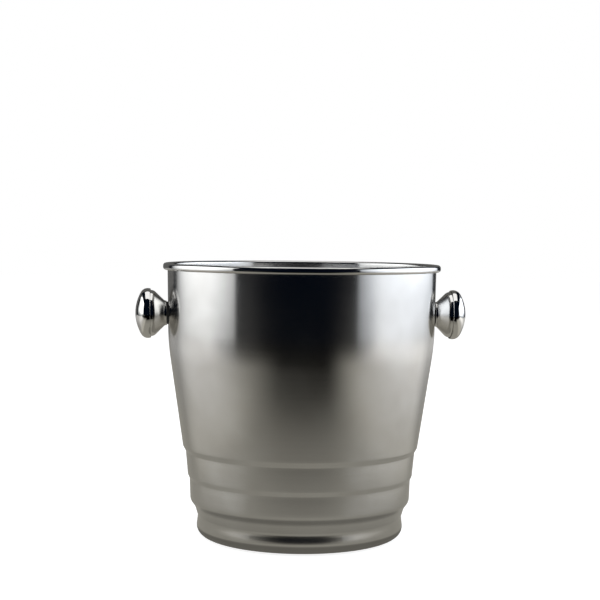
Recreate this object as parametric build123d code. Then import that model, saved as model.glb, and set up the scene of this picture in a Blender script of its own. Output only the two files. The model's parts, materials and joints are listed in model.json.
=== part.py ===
from build123d import *
import os
from math import asin, atan, atan2, cos, degrees

# Wine and ice bucket in satin stainless steel, with two hollow chromed knobs.
# Frame: +Z up, origin at the centre of the standing ring, knobs along +X and -X.
# All lengths are millimetres.

# ---- bucket shell: one drawn and spun sheet ----
HEIGHT = 212.0             # top of the rolled rim
RIM_RADIUS = 108.0         # outermost radius of the rolled rim
SHEET = 0.7                # thickness of the steel

CURL_INNER_RADIUS = 1.35   # hollow inside the rolled rim
CURL_FLAT = 1.2            # straight outer side of the roll, which makes it taller than wide
CURL_TUCK_ANGLE = 120.0    # how far the edge is tucked in under the roll
CURL_CENTRE_RADIUS = RIM_RADIUS - SHEET - CURL_INNER_RADIUS
CURL_CENTRE_Z = HEIGHT - SHEET - CURL_INNER_RADIUS
WALL_TOP_RADIUS = CURL_CENTRE_RADIUS - CURL_INNER_RADIUS

BOTTOM_RECESS = 3.0        # the bottom panel is pushed up by this much
PANEL_RADIUS = 65.0        # flat round panel inside the standing ring

# corners of the outer skin from the bottom up: (radius, height, corner radius)
OUTER_CORNERS = [
    (PANEL_RADIUS, BOTTOM_RECESS, 3.0),
    (69.0, 0.0, 3.0),      # inner edge of the standing ring
    (81.5, 0.0, 7.5),      # round heel of the foot
    (79.8, 15.4, 5.0),     # waist above the foot
    (82.2, 23.2, 10.0),    # hollow under the shoulder
    (85.75, 27.8, 6.0),    # soft shoulder over the waist
    (86.4, 44.6, 1.5),     # lower step
    (87.85, 47.8, 2.5),
    (89.6, 66.3, 1.5),     # upper step
    (91.75, 70.0, 2.5),
    (103.6, 149.6, 180.0), # slow turn from the taper to the nearly upright wall
]

# ---- knobs: lengths along the knob's axis, measured outward from the wall ----
KNOB_HEIGHT = 173.0        # height of the knob's axis where it meets the wall
KNOB_SHEET = 0.8           # thickness of the knob's cap and cone
KNOB_RADIUS = 19.4         # widest radius of the cap
KNOB_WIDEST = 15.6         # where the cap is widest
CAP_DEPTH = 9.6            # from the widest circle to the crown
CAP_LIP = 2.3              # skirt of the cap behind its widest circle
CAP_SHOULDER = 6.0         # round between that circle and the flatter crown
SKIRT_RADIUS = 7.0         # gentle inward turn of the skirt

GASKET_THICKNESS = 1.0     # on the knob's axis, between the wall and the cone
GASKET_RADIUS = 8.8
GASKET_SKIN_REACH = 0.6    # stock left behind the seat, before it is cut to the wall's curve

NECK_RADIUS = 9.6          # closed end of the cone, against the gasket
NECK_CORNER = 0.4
FLARE_START = 2.5          # where the straight neck turns into the cone
FLARE_RADIUS = 2.6
MOUTH_RADIUS = 17.9        # straight part of the cone that the cap closes over
MOUTH_START = 11.0
SHOULDER_RADIUS = 5.0
MOUTH_END = 15.4

POST_RADIUS = 4.5
SHANK_RADIUS = 2.4         # M5 screw
BORE_RADIUS = 2.5          # tapped bore in the post
BORE_END = 17.0
HOLE_RADIUS = 2.75         # clearance hole for the screw
DRILL_LENGTH = 20.0        # long enough to pass through the wall
SHANK_END = 13.0

# ---- hardware on the inside of the wall ----
WASHER_RADIUS = 6.0
WASHER_THICKNESS = 1.0
LOCK_RADIUS = 4.6
LOCK_THICKNESS = 1.2
LOCK_GAP = 1.0             # split in the lock washer
LOCK_GAP_ANGLE = 20.0      # slant of the split
LOCK_CUT_LENGTH = 5.0      # the cut spans the washer's band and ends short of its hole's far side
HEAD_RADIUS = 4.7
HEAD_HEIGHT = 3.7
HEAD_ROUND = 2.0
RECESS_SPAN = 5.2          # cross recess in the screw head
RECESS_WIDTH = 1.3
RECESS_DEPTH = 2.4
RECESS_TAPER = 12.0        # degrees

# The upper wall runs straight from its last corner to the rim, so it is part of a cone.
CORNER_RADIUS, CORNER_Z = OUTER_CORNERS[-1][:2]
WALL_SLOPE = (WALL_TOP_RADIUS - CORNER_RADIUS) / (CURL_CENTRE_Z - CORNER_Z)
KNOB_SEAT_RADIUS = CORNER_RADIUS + WALL_SLOPE * (KNOB_HEIGHT - CORNER_Z)

# Cap arcs, each tangent to the next; the crown's centre lies on the knob's axis.
CROWN_RADIUS = ((KNOB_RADIUS - CAP_SHOULDER) ** 2 + CAP_DEPTH ** 2 - CAP_SHOULDER ** 2) / (
    2 * (CAP_DEPTH - CAP_SHOULDER)
)
CROWN_CENTRE = (0, KNOB_WIDEST + CAP_DEPTH - CROWN_RADIUS)
SHOULDER_CENTRE = (KNOB_RADIUS - CAP_SHOULDER, KNOB_WIDEST)
CROWN_ANGLE = degrees(atan2(CROWN_RADIUS - CAP_DEPTH, KNOB_RADIUS - CAP_SHOULDER))
SKIRT_CENTRE = (KNOB_RADIUS - SKIRT_RADIUS, KNOB_WIDEST)
SKIRT_ANGLE = degrees(asin(CAP_LIP / SKIRT_RADIUS))

# A flat washer touches the hollow side of the wall only at its own rim.
WASHER_STANDOFF = WASHER_RADIUS ** 2 / (2 * (KNOB_SEAT_RADIUS - SHEET))
WASHER_FACE = -SHEET - WASHER_STANDOFF
LOCK_FACE = WASHER_FACE - WASHER_THICKNESS
HEAD_FACE = LOCK_FACE - LOCK_THICKNESS


def revolved(face):
    """Full turn about the Z axis."""
    return revolve(face, Axis.Z, 360)


def band(path, thickness, side):
    """Band of even thickness on one side of a path that lies in the XY plane."""
    return make_face(path.offset_2d(thickness, side=side, closed=True).edges())


def sheet(path, thickness):
    """Band of even thickness centred on a path that lies in the XY plane."""
    return band(path, thickness / 2, Side.LEFT) + band(path, thickness / 2, Side.RIGHT)


def upright(face):
    """Turn a face drawn as (radius, height) in XY so that its height is along Z."""
    return Rot(X=90) * face


def ring(outer, inner, low, high):
    """Flat ring between two heights."""
    height = high - low
    return Pos(0, 0, low) * extrude(Circle(outer) - Circle(inner), height)


def wall_skin():
    """Outer skin of the shell from the axis, across the bottom and up to the rim."""
    points = [(0, BOTTOM_RECESS)]
    points += [(radius, height) for radius, height, _ in OUTER_CORNERS]
    points += [(WALL_TOP_RADIUS, CURL_CENTRE_Z)]
    return Wire(FilletPolyline(*points, radius=[corner for _, _, corner in OUTER_CORNERS]).edges())


def rim_curl(start):
    """Middle of the sheet in the rim roll: over the top, down, and tucked in below."""
    radius = CURL_CENTRE_RADIUS - start.X
    centre = Vector(CURL_CENTRE_RADIUS, start.Y)
    drop = Vector(0, CURL_FLAT)
    over = CenterArc(centre, radius, 180, -180)
    side = Line(over @ 1, (over @ 1) - drop)
    under = CenterArc(centre - drop, radius, 0, -CURL_TUCK_ANGLE)
    return [*over.edges(), *side.edges(), *under.edges()]


def shell_path():
    """Middle of the sheet from the axis to the tucked edge of the rim."""
    wall = wall_skin().offset_2d(SHEET / 2, side=Side.LEFT, closed=False)
    top = max((wall @ 0, wall @ 1), key=lambda end: end.Y)
    return Wire([*wall.edges(), *rim_curl(top)])


def on_wall(piece):
    """Place a piece made in the knob's frame (axis +Z outward, wall at 0) on the +X side."""
    seat = Plane(
        origin=(KNOB_SEAT_RADIUS, 0, KNOB_HEIGHT),
        x_dir=(0, 1, 0),
        z_dir=Vector(cos(atan(WALL_SLOPE)), 0, -WALL_SLOPE * cos(atan(WALL_SLOPE))),
    )
    return seat.location * piece


def upper_wall_cone():
    """Solid filled to the outer skin of the upper wall, for cutting what seats on it."""
    low, high = CORNER_Z, CURL_CENTRE_Z
    return Pos(0, 0, (low + high) / 2) * Cone(CORNER_RADIUS, WALL_TOP_RADIUS, high - low)


def bucket_body():
    """Shell with rolled rim, two steps, waist, foot and the two knob holes."""
    shell = revolved(upright(sheet(shell_path(), SHEET)))
    drill = on_wall(Cylinder(HOLE_RADIUS, DRILL_LENGTH))
    return shell - drill - Rot(Z=180) * drill


def knob_gasket():
    """Soft ring between the knob and the wall, hollowed to the wall's curve."""
    blank = ring(GASKET_RADIUS, HOLE_RADIUS, -GASKET_SKIN_REACH, GASKET_THICKNESS)
    return on_wall(blank) - upper_wall_cone()


def cone_path():
    """Outer skin of the knob's cone, from its screw hole to its open mouth."""
    points = [
        (HOLE_RADIUS, GASKET_THICKNESS),
        (NECK_RADIUS, GASKET_THICKNESS),
        (NECK_RADIUS, FLARE_START),
        (MOUTH_RADIUS, MOUTH_START),
        (MOUTH_RADIUS, MOUTH_END),
    ]
    return FilletPolyline(*points, radius=[NECK_CORNER, FLARE_RADIUS, SHOULDER_RADIUS])


def knob_cone():
    """Drawn cone with a closed base that the screw passes through."""
    section = band(Wire(cone_path().edges()), KNOB_SHEET, Side.LEFT)
    return on_wall(revolved(upright(section)))


def cap_path():
    """Outer skin of the cap from its edge to the crown: skirt, shoulder and crown arcs."""
    skirt = CenterArc(SKIRT_CENTRE, SKIRT_RADIUS, -SKIRT_ANGLE, SKIRT_ANGLE)
    shoulder = CenterArc(SHOULDER_CENTRE, CAP_SHOULDER, 0, CROWN_ANGLE)
    crown = CenterArc(CROWN_CENTRE, CROWN_RADIUS, CROWN_ANGLE, 90 - CROWN_ANGLE)
    return Wire([*skirt.edges(), *shoulder.edges(), *crown.edges()])


def knob_cap():
    """Domed cap whose skirt overhangs the mouth of the cone."""
    section = band(cap_path(), KNOB_SHEET, Side.LEFT)
    return on_wall(revolved(upright(section)))


def knob_post():
    """Tapped post brazed under the crown, which the screw pulls against the cone's base."""
    low = GASKET_THICKNESS + KNOB_SHEET
    length = KNOB_WIDEST + CAP_DEPTH - low
    rod = Pos(0, 0, low + length / 2) * Cylinder(POST_RADIUS, length)
    under_crown = Pos(0, 0, CROWN_CENTRE[1]) * Sphere(CROWN_RADIUS - KNOB_SHEET)
    bore = Pos(0, 0, BORE_END / 2) * Cylinder(BORE_RADIUS, BORE_END)
    return on_wall((rod & under_crown) - bore)


def knob_washer():
    """Flat washer on the inside of the wall."""
    return on_wall(ring(WASHER_RADIUS, HOLE_RADIUS, LOCK_FACE, WASHER_FACE))


def knob_lock_washer():
    """Split spring washer, shown closed flat under the screw head."""
    washer = ring(LOCK_RADIUS, HOLE_RADIUS, HEAD_FACE, LOCK_FACE)
    middle = ((LOCK_RADIUS + HOLE_RADIUS) / 2, 0, (HEAD_FACE + LOCK_FACE) / 2)
    cut = Rot(X=LOCK_GAP_ANGLE) * Box(LOCK_CUT_LENGTH, LOCK_GAP, 3 * LOCK_THICKNESS)
    return on_wall(washer - Pos(*middle) * cut)


def cross_recess():
    """Tapered cross cut into the screw head from its outer face."""
    bottom = HEAD_FACE - HEAD_HEIGHT
    cross = Rectangle(RECESS_SPAN, RECESS_WIDTH) + Rectangle(RECESS_WIDTH, RECESS_SPAN)
    return Pos(0, 0, bottom) * extrude(cross, RECESS_DEPTH, taper=RECESS_TAPER)


def knob_screw():
    """Pan head machine screw, put in from the inside of the bucket."""
    head = Pos(0, 0, HEAD_FACE - HEAD_HEIGHT / 2) * Cylinder(HEAD_RADIUS, HEAD_HEIGHT)
    head = fillet(head.edges().sort_by(Axis.Z)[0], HEAD_ROUND)
    length = SHANK_END - HEAD_FACE
    shank = Pos(0, 0, HEAD_FACE + length / 2) * Cylinder(SHANK_RADIUS, length)
    return on_wall(head + shank - cross_recess())


KNOB_PIECES = {
    "knob_cap": knob_cap,
    "knob_cone": knob_cone,
    "knob_post": knob_post,
    "knob_gasket": knob_gasket,
    "knob_washer": knob_washer,
    "knob_lock_washer": knob_lock_washer,
    "knob_screw": knob_screw,
}


def write(node, shape):
    export_step(shape, f"parts/{node}.step")


def main():
    os.makedirs("parts", exist_ok=True)
    write("bucket_body", bucket_body())
    for name, make in KNOB_PIECES.items():
        piece = make()
        write(f"right_{name}", piece)
        write(f"left_{name}", Rot(Z=180) * piece)


main()
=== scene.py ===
import json
from math import asin, atan2, cos, degrees, hypot, pi, radians, sin, tan

import bmesh
import bpy
from mathutils import Matrix, Vector


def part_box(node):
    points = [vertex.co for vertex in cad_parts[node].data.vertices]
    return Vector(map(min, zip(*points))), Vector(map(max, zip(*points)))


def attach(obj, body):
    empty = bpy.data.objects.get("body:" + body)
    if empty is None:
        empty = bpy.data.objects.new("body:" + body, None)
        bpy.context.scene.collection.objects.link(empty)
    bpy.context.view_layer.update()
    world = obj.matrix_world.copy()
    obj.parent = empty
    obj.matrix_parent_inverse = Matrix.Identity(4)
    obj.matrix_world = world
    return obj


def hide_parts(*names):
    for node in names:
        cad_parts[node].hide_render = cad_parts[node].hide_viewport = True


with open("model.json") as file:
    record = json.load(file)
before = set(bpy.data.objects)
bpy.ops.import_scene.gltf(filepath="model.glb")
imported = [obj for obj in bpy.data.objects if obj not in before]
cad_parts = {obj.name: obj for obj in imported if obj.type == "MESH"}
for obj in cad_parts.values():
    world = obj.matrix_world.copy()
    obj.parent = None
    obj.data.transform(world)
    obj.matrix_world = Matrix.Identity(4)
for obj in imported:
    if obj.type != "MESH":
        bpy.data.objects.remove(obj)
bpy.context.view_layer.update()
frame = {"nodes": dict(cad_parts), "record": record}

MM = 0.001

# ---- camera, fitted to the photograph's viewpoint ----
CAMERA_DISTANCE = 1.0937       # from the bucket's axis
CAMERA_HEIGHT = 0.238          # above the surface that the bucket stands on
CAMERA_TURN = 4.5              # degrees about +Z, which brings the left knob nearer
CAMERA_DOWN = 2.847            # degrees below the horizontal
CAMERA_ROLL = 0.6
CAMERA_YAW = 0.067
LENS_MM = 84.0
SENSOR_MM = 36.0

# ---- the bucket's sheet, in millimetres ----
SHEET = 0.7
CURL_INNER_RADIUS = 1.35
CURL_FLAT = 1.2
CURL_TUCK_ANGLE = 120.0
BOTTOM_RECESS = 3.0

# corners of the outer skin from the bottom up: (radius, height, corner radius)
OUTER_CORNERS = [
    (65.0, BOTTOM_RECESS, 3.0),
    (69.0, 0.0, 3.0),          # inner edge of the standing ring
    (81.5, 0.0, 7.5),          # round heel of the foot
    (79.8, 15.4, 5.0),         # waist above the foot
    (82.2, 23.2, 10.0),        # hollow under the shoulder
    (85.75, 27.8, 6.0),        # soft shoulder over the waist
    (86.4, 44.6, 1.5),         # lower step
    (87.85, 47.8, 2.5),
    (89.6, 66.3, 1.5),         # upper step
    (91.75, 70.0, 2.5),
    (103.6, 149.6, 180.0),     # slow turn from the taper to the nearly upright wall
]

# heights between which the satin finish gives way to a finer polish, in metres
RIM_POLISH_START = 0.2060
RIM_POLISH_FULL = 0.2085
FOOT_POLISH_START = 0.0175
FOOT_POLISH_FULL = 0.0140

# ---- the knobs, along their own axis outward from the wall, in millimetres ----
KNOB_HEIGHT = 173.0
KNOB_SHEET = 0.8
KNOB_RADIUS = 19.4
KNOB_WIDEST = 15.6
CAP_DEPTH = 9.6
CAP_LIP = 2.3
CAP_SHOULDER = 6.0
SKIRT_RADIUS = 7.0
GASKET_THICKNESS = 1.0
HOLE_RADIUS = 2.75
NECK_RADIUS = 9.6
NECK_CORNER = 0.4
FLARE_START = 2.5
FLARE_RADIUS = 2.6
MOUTH_RADIUS = 17.9
MOUTH_START = 11.0
SHOULDER_RADIUS = 5.0
MOUTH_END = 15.4

_, body_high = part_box("bucket_body")
RIM_RADIUS = body_high[0] / MM
HEIGHT = body_high[2] / MM
CURL_CENTRE_RADIUS = RIM_RADIUS - SHEET - CURL_INNER_RADIUS
CURL_CENTRE_Z = HEIGHT - SHEET - CURL_INNER_RADIUS
WALL_TOP_RADIUS = CURL_CENTRE_RADIUS - CURL_INNER_RADIUS
CORNER_RADIUS, CORNER_Z = OUTER_CORNERS[-1][:2]
WALL_SLOPE = (WALL_TOP_RADIUS - CORNER_RADIUS) / (CURL_CENTRE_Z - CORNER_Z)
KNOB_SEAT_RADIUS = CORNER_RADIUS + WALL_SLOPE * (KNOB_HEIGHT - CORNER_Z)

# ---- fineness of the meshes: degrees between points of an arc, millimetres along a run ----
ARC_STEP = 6.0
WIDE_ARC_STEP = 1.2            # for an arc of more than WIDE_RADIUS
WIDE_RADIUS = 50.0
CURL_INSIDE_STEP = 9.0
CURL_OUTSIDE_STEP = 5.0
CAP_STEP = 3.0
CROWN_STEP = 2.0
CONE_STEP = 4.0
OUTER_RUN = 2.2
INNER_RUN = 3.0
TURN_STEPS = 220               # faces round the bucket
KNOB_STEPS = 120               # faces round a knob
ON_AXIS = 1e-6                 # a radius below this is a point on the axis

# ---- colours of the metals and the seal ----
STEEL_DARK = (0.60, 0.59, 0.575, 1)
STEEL_LIGHT = (0.655, 0.65, 0.64, 1)
CHROME = (0.72, 0.71, 0.69, 1)
PLATING = (0.58, 0.57, 0.55, 1)
RUBBER_DARK = (0.012, 0.012, 0.012, 1)
RUBBER_LIGHT = (0.035, 0.035, 0.034, 1)

# ---- stage, in metres; a glow is the light that a surface gives ----
FLOOR_REACH = 6.0
FLOOR_Z = -0.0005
TABLE_Z = -0.0003
TABLE_LOW = (-1.35, -1.25)
TABLE_HIGH = (1.35, 2.0)
PANEL_X = 1.35                 # the side panels stand this far from the bucket's axis
PANEL_HEIGHT = 1.25
LEFT_PANEL_SPAN = (-0.79, 1.37)
LEFT_PANEL_COLOUR = (0.97, 0.99, 1.0, 1)
LEFT_PANEL_GLOW = 2.6
LEFT_PANEL_CENTRE = 0.12       # y of its brightest part
LEFT_PANEL_FADE = 1.25         # distance from there to darkness
RIGHT_PANEL_SPAN = (-1.5, 1.70)
RIGHT_PANEL_COLOUR = (0.90, 0.95, 1.02, 1)
RIGHT_PANEL_GLOW = 2.7
RIGHT_PANEL_CENTRE = 0.2
RIGHT_PANEL_FADE = 1.95
BACK_PANEL_Y = 1.8
BACK_PANEL_SPAN = (-1.35, 0.9)
BACK_PANEL_HEIGHT = 2.6
BACK_PANEL_COLOUR = (1, 0.99, 0.96, 1)
BACK_PANEL_GLOW = 0.13
SOFTBOX_PLACE = (0, 0.2, 1.9)
SOFTBOX_AIM = (0, 0, 0.1)
SOFTBOX_SIZE = 1.6
SOFTBOX_WATTS = 10
ROOM_COLOUR = (0.15, 0.4, 1.0, 1)
ROOM_GLOW = 0.008

# ramps of glow over a distance: (start, end, value before the start, value past the end)
FLOOR_FADE = (0.3, 1.1, 0.84, 1.0)           # by distance from the axis
PANEL_RISE = (0.0, 0.24, 0.18, 1.0)          # by height, as a share of the panel's glow
PANEL_FALL = (1.40, 1.62, 1.0, 0.2)          # by height plus PANEL_LEAN times y
PANEL_LEAN = 0.6
TABLE_SIDES = (0.12, 0.30, 0.0, 0.54)        # by distance from the table's middle line
TABLE_FAR_SIDES = (0.35, 0.85, 0.0, 0.45)
TABLE_TAIL = (0.6, 1.1, 0.0, 0.10)
TABLE_FAR_RIGHT = (0.45, 0.85, 0.0, 0.30)    # by x
TABLE_FRONT = (-0.365, -0.29, 0.0, 0.205)    # by y
TABLE_NEAR = (-0.30, -0.16, 0.0, 0.12)
TABLE_BEHIND = (0.30, 1.1, 1.0, 0.52)        # by y over the distance from the middle line
TABLE_EDGE = (-0.60, -0.26, 0.0, 1.0)        # by y plus TABLE_SKEW times x
TABLE_CONTACT_SHADOW = (0.086, 0.104, 0.5, 1.0)     # painted contact shadow, by distance from the axis
TABLE_SKEW = 0.22
TABLE_MIDDLE_X = -0.012
TABLE_NEAR_COLOUR = (1.0, 0.965, 0.85, 1)
TABLE_FAR_COLOUR = (1.0, 0.985, 0.955, 1)
TABLE_WARMTH = (0.25, 0.6)                   # distances of those two colours


# ---------------------------------------------------------------- outlines

def arc_points(centre, radius, start, sweep, step=ARC_STEP):
    """Points along a circular arc; angles in degrees, anticlockwise positive."""
    count = max(2, int(abs(sweep) / step) + 1)
    return [
        (
            centre[0] + radius * cos(radians(start + sweep * i / count)),
            centre[1] + radius * sin(radians(start + sweep * i / count)),
        )
        for i in range(count + 1)
    ]


def rounded(points, radii, step=ARC_STEP):
    """Polyline with each inner corner rounded to its radius."""
    path = [points[0]]
    for before, corner, after, radius in zip(points, points[1:], points[2:], radii):
        path += corner_arc(Vector(before), Vector(corner), Vector(after), radius, step)
    path.append(points[-1])
    return path


def corner_arc(before, corner, after, radius, step):
    """Points of the arc tangent to both sides of a corner."""
    to_before = (before - corner).normalized()
    to_after = (after - corner).normalized()
    opening = to_before.angle(to_after)
    reach = radius / tan(opening / 2)
    centre = corner + (to_before + to_after).normalized() * (radius / sin(opening / 2))
    first = corner + to_before * reach - centre
    last = corner + to_after * reach - centre
    start = degrees(atan2(first.y, first.x))
    sweep = degrees(atan2(last.y, last.x)) - start
    sweep = (sweep + 180) % 360 - 180
    if radius > WIDE_RADIUS:
        step = WIDE_ARC_STEP
    return arc_points(centre, radius, start, sweep, step)


def offset(path, distance):
    """The path moved sideways to its left by an even distance."""
    moved = []
    last = len(path) - 1
    for i, point in enumerate(path):
        before = Vector(path[max(i - 1, 0)])
        after = Vector(path[min(i + 1, last)])
        along = (after - before).normalized()
        moved.append((point[0] - along.y * distance, point[1] + along.x * distance))
    return moved


def spaced(path, longest):
    """The path with its long straight runs divided, so that faces stay even."""
    result = [path[0]]
    for a, b in zip(path, path[1:]):
        length = hypot(b[0] - a[0], b[1] - a[1])
        pieces = max(1, int(length / longest + 0.5))
        for i in range(1, pieces + 1):
            result.append((a[0] + (b[0] - a[0]) * i / pieces, a[1] + (b[1] - a[1]) * i / pieces))
    return result


# ---------------------------------------------------------------- meshes

def turned(name, path, steps, place=None):
    """Solid of revolution about Z from a closed profile in millimetres, moved to its place."""
    mesh = bpy.data.meshes.new(name)
    shape = bmesh.new()
    along = shape.verts.layers.float.new("along")
    rings = []
    travelled = 0.0
    for i, (radius, height) in enumerate(path):
        if i:
            travelled += hypot(radius - path[i - 1][0], height - path[i - 1][1])
        rings.append(ring_of_vertices(shape, radius, height, steps, along, travelled))
    pairs = list(zip(rings, rings[1:]))
    if path[0][0] > ON_AXIS:
        pairs.append((rings[-1], rings[0]))
    for low, high in pairs:
        join_rings(shape, low, high)
    if place:
        bmesh.ops.transform(shape, matrix=place, verts=shape.verts)
    bmesh.ops.recalc_face_normals(shape, faces=shape.faces)
    shape.to_mesh(mesh)
    shape.free()
    mesh.shade_smooth()
    piece = bpy.data.objects.new(name, mesh)
    bpy.context.scene.collection.objects.link(piece)
    return piece


def ring_of_vertices(shape, radius, height, steps, layer, travelled):
    """One ring of a turned mesh, or a single vertex where it meets the axis."""
    ring = []
    for k in range(steps if radius > ON_AXIS else 1):
        angle = 2 * pi * k / steps
        vertex = shape.verts.new((radius * cos(angle) * MM, radius * sin(angle) * MM, height * MM))
        vertex[layer] = travelled * MM
        ring.append(vertex)
    return ring


def join_rings(shape, low, high):
    """Faces between two rings, either of which may be a single vertex on the axis."""
    steps = max(len(low), len(high))
    for k in range(steps):
        n = (k + 1) % steps
        if len(low) == 1:
            corners = (low[0], high[n], high[k])
        elif len(high) == 1:
            corners = (low[k], low[n], high[0])
        else:
            corners = (low[k], low[n], high[n], high[k])
        shape.faces.new(corners)


def shell_profile():
    """Closed outline of the bucket's sheet: outer skin up, round the curl, inner skin down."""
    corners = [(0.0, BOTTOM_RECESS)]
    corners += [(radius, height) for radius, height, _ in OUTER_CORNERS]
    corners += [(WALL_TOP_RADIUS, CURL_CENTRE_Z)]
    wall = rounded(corners, [corner for _, _, corner in OUTER_CORNERS])
    outer = spaced(wall, OUTER_RUN)
    inner = spaced(offset(wall, SHEET), INNER_RUN)
    inner[0] = (0.0, BOTTOM_RECESS + SHEET)
    return outer[:-1] + curl_outline() + inner[::-1][1:]


def curl_outline():
    """The rolled edge: its hollow side down to the tucked end, then its outer side back up."""
    top = (CURL_CENTRE_RADIUS, CURL_CENTRE_Z)
    low = (CURL_CENTRE_RADIUS, CURL_CENTRE_Z - CURL_FLAT)
    outer_radius = CURL_INNER_RADIUS + SHEET
    line = arc_points(top, CURL_INNER_RADIUS, 180, -180, CURL_INSIDE_STEP)
    line += arc_points(low, CURL_INNER_RADIUS, 0, -CURL_TUCK_ANGLE, CURL_INSIDE_STEP)
    line += arc_points(low, outer_radius, -CURL_TUCK_ANGLE, CURL_TUCK_ANGLE, CURL_OUTSIDE_STEP)
    line += arc_points(top, outer_radius, 0, 180, CURL_OUTSIDE_STEP)
    return line


def cap_profile():
    """Closed profile of the cap, from skirt to crown, of arcs that run into each other."""
    rise = (KNOB_RADIUS - CAP_SHOULDER) ** 2 + CAP_DEPTH ** 2 - CAP_SHOULDER ** 2
    crown = rise / (2 * (CAP_DEPTH - CAP_SHOULDER))
    crown_angle = degrees(atan2(crown - CAP_DEPTH, KNOB_RADIUS - CAP_SHOULDER))
    skirt_angle = degrees(asin(CAP_LIP / SKIRT_RADIUS))
    skirt_centre = (KNOB_RADIUS - SKIRT_RADIUS, KNOB_WIDEST)
    shoulder_centre = (KNOB_RADIUS - CAP_SHOULDER, KNOB_WIDEST)
    crown_centre = (0, KNOB_WIDEST + CAP_DEPTH - crown)
    path = arc_points(skirt_centre, SKIRT_RADIUS, -skirt_angle, skirt_angle, CAP_STEP)
    path += arc_points(shoulder_centre, CAP_SHOULDER, 0, crown_angle, CAP_STEP)[1:]
    path += arc_points(crown_centre, crown, crown_angle, 90 - crown_angle, CROWN_STEP)[1:]
    path[-1] = (0.0, path[-1][1])
    inner = offset(path, KNOB_SHEET)
    inner[-1] = (0.0, path[-1][1] - KNOB_SHEET)
    return path[::-1] + inner


def cone_profile():
    """Closed profile of the cone: flat base round the screw, neck, flare and mouth."""
    points = [
        (HOLE_RADIUS, GASKET_THICKNESS),
        (NECK_RADIUS, GASKET_THICKNESS),
        (NECK_RADIUS, FLARE_START),
        (MOUTH_RADIUS, MOUTH_START),
        (MOUTH_RADIUS, MOUTH_END),
    ]
    path = rounded(points, [NECK_CORNER, FLARE_RADIUS, SHOULDER_RADIUS], CONE_STEP)
    return path + offset(path, KNOB_SHEET)[::-1]


# ---------------------------------------------------------------- materials

class Nodes:
    """Short names for making and linking one material's nodes."""

    def __init__(self, name):
        self.material = bpy.data.materials.new(name)
        self.material.use_nodes = True
        self.tree = self.material.node_tree
        self.shader = self.tree.nodes["Principled BSDF"]

    def add(self, kind, values=None, **settings):
        """A new node with its settings, and its inputs set or linked."""
        node = self.tree.nodes.new("ShaderNode" + kind)
        for key, value in settings.items():
            setattr(node, key, value)
        for key, value in (values or {}).items():
            if isinstance(value, bpy.types.NodeSocket):
                self.tree.links.new(value, node.inputs[key])
            else:
                node.inputs[key].default_value = value
        return node

    def place(self):
        """Coordinates in the object's own frame, in metres."""
        return self.add("TexCoord").outputs["Object"]

    def split(self, vector):
        """The three components of a vector."""
        return self.add("SeparateXYZ", {0: vector}).outputs

    def math(self, operation, a, b=0.0, clamp=False):
        return self.add("Math", {0: a, 1: b}, operation=operation, use_clamp=clamp).outputs[0]

    def noise(self, vector, scale, detail, rough):
        values = {"Vector": vector, "Scale": scale, "Detail": detail, "Roughness": rough}
        return self.add("TexNoise", values).outputs["Fac"]

    def span(self, value, low, high):
        """Value from 0..1 spread to low..high."""
        values = {"Value": value, "To Min": low, "To Max": high}
        return self.add("MapRange", values).outputs["Result"]

    def ramp(self, value, start, end, low, high, smooth=False):
        """Low before start, high after end, and in between a straight or smooth rise."""
        kind = "SMOOTHSTEP" if smooth else "LINEAR"
        values = {"Value": value, "From Min": start, "From Max": end, "To Min": low, "To Max": high}
        return self.add("MapRange", values, interpolation_type=kind).outputs["Result"]

    def two_tone(self, value, start, first, end, second):
        """Colour that goes from the first at start to the second at end."""
        node = self.add("ValToRGB", {"Fac": value})
        low, high = node.color_ramp.elements
        low.position = start
        low.color = first
        high.position = end
        high.color = second
        return node.outputs[0]

    def bump(self, height, strength, distance, normal=None):
        values = {"Height": height, "Strength": strength, "Distance": distance}
        if normal:
            values["Normal"] = normal
        return self.add("Bump", values).outputs["Normal"]

    def set(self, **values):
        """The shader's own inputs, by name with _ for a space."""
        for key, value in values.items():
            socket = self.shader.inputs[key.replace("_", " ")]
            if isinstance(value, bpy.types.NodeSocket):
                self.tree.links.new(value, socket)
            else:
                socket.default_value = value


def level_part(nodes):
    """The object's coordinates with their height dropped."""
    values = {0: nodes.place(), 1: (1, 1, 0)}
    return nodes.add("VectorMath", values, operation="MULTIPLY").outputs[0]


def spun_vector(nodes, round_scale, along_scale):
    """Coordinates whose pattern runs in rings round the axis, with no seam."""
    values = {0: level_part(nodes)}
    direction = nodes.split(nodes.add("VectorMath", values, operation="NORMALIZE").outputs[0])
    along = nodes.add("Attribute", attribute_name="along").outputs["Fac"]
    x = nodes.math("MULTIPLY", direction[0], round_scale)
    y = nodes.math("MULTIPLY", direction[1], round_scale)
    z = nodes.math("MULTIPLY", along, along_scale)
    return nodes.add("CombineXYZ", {0: x, 1: y, 2: z}).outputs[0]


def polish(nodes):
    """Share of the satin roughness that is left at the rim and at the foot."""
    height = nodes.split(nodes.place())[2]
    rim = nodes.ramp(height, RIM_POLISH_START, RIM_POLISH_FULL, 1.0, 0.7)
    foot = nodes.ramp(height, FOOT_POLISH_FULL, FOOT_POLISH_START, 0.45, 1.0)
    return nodes.math("MULTIPLY", rim, foot)


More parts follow.
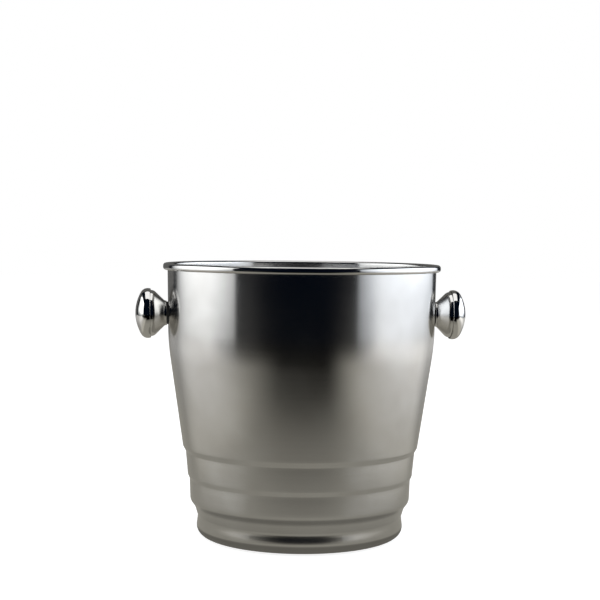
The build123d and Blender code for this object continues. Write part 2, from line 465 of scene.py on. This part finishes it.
def satin_steel():
    """Spun stainless steel with a fine finish that runs round the body."""
    nodes = Nodes("satin_steel")
    place = nodes.place()
    line_vector = spun_vector(nodes, round_scale=0.12, along_scale=3200)
    band_vector = spun_vector(nodes, round_scale=0.15, along_scale=420)
    lines = nodes.noise(line_vector, scale=1.0, detail=2.0, rough=0.6)
    bands = nodes.noise(band_vector, scale=1.0, detail=3.0, rough=0.6)
    cloud = nodes.noise(place, scale=30.0, detail=2.0, rough=0.5)
    slow = nodes.noise(place, scale=9.0, detail=1.0, rough=0.4)
    roughness = nodes.math("ADD", nodes.span(bands, 0.165, 0.215), nodes.span(cloud, -0.03, 0.03))
    normal = nodes.bump(slow, strength=0.15, distance=0.0004)
    normal = nodes.bump(lines, strength=0.06, distance=0.00002, normal=normal)
    nodes.set(
        Base_Color=nodes.two_tone(cloud, 0.3, STEEL_DARK, 0.7, STEEL_LIGHT),
        Metallic=1.0,
        Roughness=nodes.math("MULTIPLY", roughness, polish(nodes)),
        Anisotropic=0.85,
        Anisotropic_Rotation=0.25,
        Tangent=nodes.add("Tangent", direction_type="RADIAL", axis="Z").outputs[0],
        Normal=normal,
    )
    return nodes.material


def polished_chrome():
    """Mirror finish with faint polishing haze."""
    nodes = Nodes("polished_chrome")
    place = nodes.place()
    haze = nodes.noise(place, scale=900.0, detail=3.0, rough=0.6)
    wave = nodes.noise(place, scale=60.0, detail=2.0, rough=0.5)
    nodes.set(
        Base_Color=CHROME,
        Metallic=1.0,
        Roughness=nodes.span(haze, 0.03, 0.10),
        Normal=nodes.bump(wave, strength=0.2, distance=0.0002),
    )
    return nodes.material


def plated_steel():
    """Bright machined hardware."""
    nodes = Nodes("plated_steel")
    grain = nodes.noise(nodes.place(), scale=1500.0, detail=3.0, rough=0.6)
    nodes.set(
        Base_Color=PLATING,
        Metallic=1.0,
        Roughness=nodes.span(grain, 0.22, 0.36),
        Normal=nodes.bump(grain, strength=0.2, distance=0.00003),
    )
    return nodes.material


def gasket_rubber():
    """Matte black seal."""
    nodes = Nodes("gasket_rubber")
    grain = nodes.noise(nodes.place(), scale=2200.0, detail=4.0, rough=0.7)
    nodes.set(
        Base_Color=nodes.two_tone(grain, 0.0, RUBBER_DARK, 1.0, RUBBER_LIGHT),
        Roughness=nodes.span(grain, 0.6, 0.8),
        Normal=nodes.bump(grain, strength=0.3, distance=0.00005),
    )
    return nodes.material


MATERIALS = {
    "satin_steel": satin_steel(),
    "polished_chrome": polished_chrome(),
    "plated_steel": plated_steel(),
    "gasket_rubber": gasket_rubber(),
}
SLOT_OF = {row["node"]: row["material_slot"] for row in frame["record"]["subparts"]}


# ---------------------------------------------------------------- pieces

def dress_cad_nodes():
    """Every CAD node that stays visible gets its slot's material."""
    for node, piece in frame["nodes"].items():
        piece.data.materials.clear()
        piece.data.materials.append(MATERIALS[SLOT_OF[node]])


def add_shell():
    """The bucket's sheet as one closed turned mesh."""
    shell = turned("bucket_shell", shell_profile(), TURN_STEPS)
    shell.data.materials.append(MATERIALS["satin_steel"])
    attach(shell, "root")
    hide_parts("bucket_body")


def knob_place(side):
    """Matrix from the knob's frame, axis +Z outward, to its seat on the wall; side is +1 or -1."""
    tilt = Matrix.Rotation(pi / 2 + atan2(WALL_SLOPE, 1), 4, "Y")
    seat = Matrix.Translation((KNOB_SEAT_RADIUS * MM, 0, KNOB_HEIGHT * MM))
    turn = Matrix.Rotation(0 if side > 0 else pi, 4, "Z")
    return turn @ seat @ tilt


def add_knobs():
    """Caps and cones of both knobs as smooth turned meshes."""
    for name, side in (("left", -1), ("right", 1)):
        for part, profile in (("cap", cap_profile()), ("cone", cone_profile())):
            piece = turned(f"{name}_{part}", profile, KNOB_STEPS, knob_place(side))
            piece.data.materials.append(MATERIALS["polished_chrome"])
            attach(piece, "root")
            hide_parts(f"{name}_knob_{part}")


# ---------------------------------------------------------------- studio

def flat_sheet(name, corners, material):
    """Flat four-cornered sheet of the stage."""
    mesh = bpy.data.meshes.new(name)
    mesh.from_pydata(corners, [], [(0, 1, 2, 3)])
    mesh.materials.append(material)
    piece = bpy.data.objects.new(name, mesh)
    bpy.context.scene.collection.objects.link(piece)
    return piece


def level_sheet(name, low, high, height, material):
    """Level sheet between two corners, at a height."""
    corners = [(low[0], low[1]), (high[0], low[1]), (high[0], high[1]), (low[0], high[1])]
    return flat_sheet(name, [(x, y, height) for x, y in corners], material)


def upright_sheet(name, start, end, top, material):
    """Upright sheet from the floor to its top, over a straight line."""
    corners = [(*start, 0.0), (*end, 0.0), (*end, top), (*start, top)]
    return flat_sheet(name, corners, material)


def distance_from_axis(nodes):
    values = {0: level_part(nodes)}
    return nodes.add("VectorMath", values, operation="LENGTH").outputs["Value"]


def floor_material():
    """Pale floor that brightens into the white background away from the bucket."""
    nodes = Nodes("pale_floor")
    glow = nodes.ramp(distance_from_axis(nodes), *FLOOR_FADE)
    nodes.set(Base_Color=(0.6, 0.6, 0.6, 1), Roughness=0.9, Specular_IOR_Level=0.0)
    nodes.set(Emission_Color=(1, 1, 1, 1), Emission_Strength=glow)
    return nodes.material


def glow_material(nodes, colour, strength):
    """Finish a material that only gives light."""
    nodes.set(Base_Color=(0, 0, 0, 1), Specular_IOR_Level=0.0)
    nodes.set(Emission_Color=colour, Emission_Strength=strength)
    return nodes.material


def table_side_glow(nodes, x, y, across):
    """Light of the table beside the bucket: more far out, less behind, none in front."""
    sides = nodes.ramp(across, *TABLE_SIDES, smooth=True)
    far_sides = nodes.ramp(across, *TABLE_FAR_SIDES, smooth=True)
    far_right = nodes.ramp(x, *TABLE_FAR_RIGHT, smooth=True)
    behind = nodes.ramp(nodes.math("DIVIDE", y, across), *TABLE_BEHIND, smooth=True)
    skewed = nodes.math("ADD", y, nodes.math("MULTIPLY", x, TABLE_SKEW))
    edge = nodes.ramp(skewed, *TABLE_EDGE, smooth=True)
    glow = nodes.math("ADD", sides, nodes.math("ADD", far_sides, far_right))
    glow = nodes.math("MULTIPLY", glow, nodes.math("MULTIPLY", behind, edge))
    return nodes.math("MAXIMUM", glow, nodes.ramp(across, *TABLE_TAIL, smooth=True))


def table_material():
    """Warm grey table that only gives light, seen in reflections: its glow is painted light and
    shade, bright at the sides, dark in front of the bucket, with a painted contact shadow close to
    it.
    """
    nodes = Nodes("table_painted_glow")
    x, y, _ = nodes.split(nodes.place())
    across = nodes.math("ABSOLUTE", nodes.math("SUBTRACT", x, TABLE_MIDDLE_X))
    side = table_side_glow(nodes, x, y, across)
    front = nodes.ramp(y, *TABLE_FRONT, smooth=True)
    near = nodes.ramp(y, *TABLE_NEAR)
    glow = nodes.math("MAXIMUM", side, nodes.math("ADD", front, near))
    # painted contact shadow: the table's glow is dimmed close to the bucket's foot
    contact_shadow = nodes.ramp(distance_from_axis(nodes), *TABLE_CONTACT_SHADOW, smooth=True)
    warm, cool = TABLE_WARMTH
    colour = nodes.two_tone(across, warm, TABLE_NEAR_COLOUR, cool, TABLE_FAR_COLOUR)
    return glow_material(nodes, colour, nodes.math("MULTIPLY", glow, contact_shadow))


def panel_material(name, colour, peak, centre, fade):
    """Soft light panel, brightest at its centre, darker by the floor and at its rear top."""
    nodes = Nodes(name)
    _, y, z = nodes.split(nodes.place())
    away = nodes.math("DIVIDE", nodes.math("SUBTRACT", y, centre), fade)
    bell = nodes.math("SUBTRACT", 1.0, nodes.math("MULTIPLY", away, away), clamp=True)
    start, end, low, high = PANEL_RISE
    rise = nodes.ramp(z, start, end, low * peak, high * peak, smooth=True)
    leaning = nodes.math("ADD", z, nodes.math("MULTIPLY", y, PANEL_LEAN))
    fall = nodes.ramp(leaning, *PANEL_FALL, smooth=True)
    glow = nodes.math("MULTIPLY", bell, nodes.math("MULTIPLY", rise, fall))
    return glow_material(nodes, colour, glow)


def side_panel(name, x, span, material):
    """Light panel beside the bucket, which the camera doesn't see."""
    start, end = span
    panel = upright_sheet(name, (x, start), (x, end), PANEL_HEIGHT, material)
    panel.visible_camera = False


def seen_in_reflections_only(piece):
    """Hide a stage piece from the camera, and keep its light off matt surfaces."""
    piece.visible_camera = False
    piece.visible_diffuse = False
    piece.visible_shadow = False


def add_floor_and_table():
    """White floor for the camera, and in its place for reflections a grey table whose glow is
    painted light and shade.
    """
    reach = FLOOR_REACH
    floor = level_sheet("floor", (-reach, -reach), (reach, reach), FLOOR_Z, floor_material())
    floor.visible_glossy = False
    table = level_sheet("table", TABLE_LOW, TABLE_HIGH, TABLE_Z, table_material())
    seen_in_reflections_only(table)


def add_panels():
    """Light panels at both sides and a dim one at the back."""
    left = panel_material(
        "left_glow", LEFT_PANEL_COLOUR, LEFT_PANEL_GLOW, LEFT_PANEL_CENTRE, LEFT_PANEL_FADE
    )
    side_panel("left_panel", -PANEL_X, LEFT_PANEL_SPAN, left)
    right = panel_material(
        "right_glow", RIGHT_PANEL_COLOUR, RIGHT_PANEL_GLOW, RIGHT_PANEL_CENTRE, RIGHT_PANEL_FADE
    )
    side_panel("right_panel", PANEL_X, RIGHT_PANEL_SPAN, right)
    start, end = ((x, BACK_PANEL_Y) for x in BACK_PANEL_SPAN)
    back = glow_material(Nodes("back_glow"), BACK_PANEL_COLOUR, BACK_PANEL_GLOW)
    seen_in_reflections_only(upright_sheet("back_panel", start, end, BACK_PANEL_HEIGHT, back))


def add_softbox():
    """Square soft light over the bucket."""
    lamp = bpy.data.lights.new("top_softbox", "AREA")
    lamp.shape = "RECTANGLE"
    lamp.size = SOFTBOX_SIZE
    lamp.size_y = SOFTBOX_SIZE
    lamp.energy = SOFTBOX_WATTS
    holder = bpy.data.objects.new("top_softbox", lamp)
    holder.location = SOFTBOX_PLACE
    aim = Vector(SOFTBOX_AIM) - Vector(SOFTBOX_PLACE)
    holder.rotation_euler = aim.to_track_quat("-Z", "Y").to_euler()
    bpy.context.scene.collection.objects.link(holder)


def add_world():
    """White background for the camera, and a dark room for everything else."""
    world = bpy.data.worlds.new("studio")
    bpy.context.scene.world = world
    world.use_nodes = True
    tree = world.node_tree
    white = tree.nodes["Background"]
    white.inputs["Color"].default_value = (1, 1, 1, 1)
    dark = tree.nodes.new("ShaderNodeBackground")
    dark.inputs["Color"].default_value = ROOM_COLOUR
    dark.inputs["Strength"].default_value = ROOM_GLOW
    mix = tree.nodes.new("ShaderNodeMixShader")
    path = tree.nodes.new("ShaderNodeLightPath")
    tree.links.new(path.outputs["Is Camera Ray"], mix.inputs[0])
    tree.links.new(dark.outputs[0], mix.inputs[1])
    tree.links.new(white.outputs[0], mix.inputs[2])
    tree.links.new(mix.outputs[0], tree.nodes["World Output"].inputs[0])


def camera():
    """Camera at the photograph's viewpoint."""
    lens = bpy.data.cameras.new("camera")
    lens.lens = LENS_MM
    lens.sensor_width = SENSOR_MM
    lens.clip_end = 50
    holder = bpy.data.objects.new("camera", lens)
    turn = Matrix.Rotation(radians(-CAMERA_TURN), 4, "Z")
    place = Matrix.Translation((0, -CAMERA_DISTANCE, CAMERA_HEIGHT))
    yaw = Matrix.Rotation(radians(CAMERA_YAW), 4, "Z")
    tilt = Matrix.Rotation(radians(90 - CAMERA_DOWN), 4, "X")
    roll = Matrix.Rotation(radians(CAMERA_ROLL), 4, "Z")
    holder.matrix_world = turn @ place @ yaw @ tilt @ roll
    bpy.context.scene.collection.objects.link(holder)
    bpy.context.scene.camera = holder


def colour_management():
    bpy.context.scene.view_settings.view_transform = "Standard"
    bpy.context.scene.view_settings.look = "None"


dress_cad_nodes()
add_shell()
add_knobs()
add_floor_and_table()
add_panels()
add_softbox()
add_world()
camera()
colour_management()
